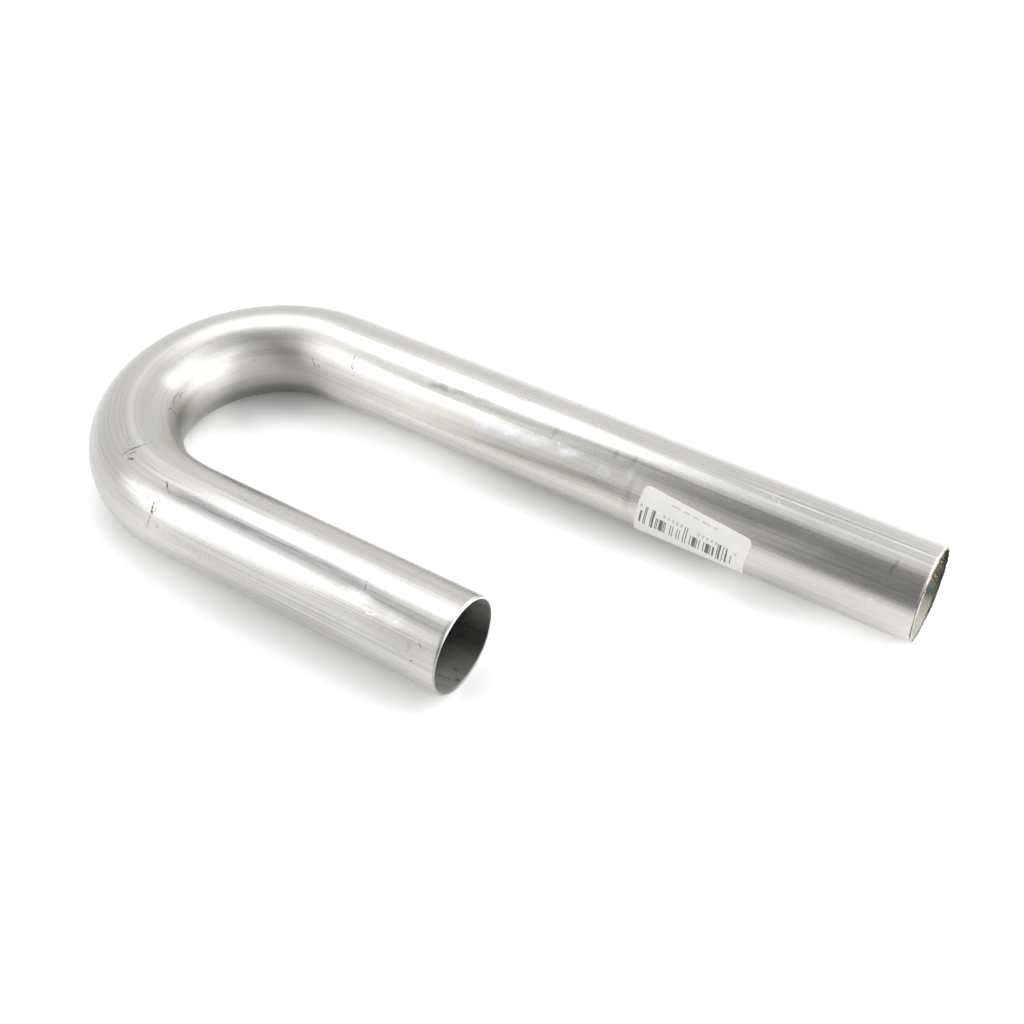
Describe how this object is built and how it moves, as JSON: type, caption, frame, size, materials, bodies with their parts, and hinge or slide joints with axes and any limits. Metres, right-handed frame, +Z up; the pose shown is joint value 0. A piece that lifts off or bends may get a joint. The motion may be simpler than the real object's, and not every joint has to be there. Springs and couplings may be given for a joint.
{
  "type": "exhaust j-bend",
  "caption": "Mandrel-bent bare steel exhaust tube in a J: a short leg and a long leg joined by a half-turn bend, open at both cut ends, with a paper sticker on the long leg.",
  "frame": {"origin": "on the ground under the middle of the bounding box", "axes": "+X along both legs towards their open ends, +Y towards the long leg, +Z up, square to the plane of the bend"},
  "size_m": [0.391, 0.1714, 0.0453],
  "materials": {
    "bare_steel": "bare drawn mill finish with lengthwise draw lines, light scuffs and bright cut ends",
    "label_paper": "matt white printed paper"
  },
  "bodies": {
    "root": {"j_bend_tube": "bare_steel", "paper_label": "label_paper"}
  },
  "joints": []
}
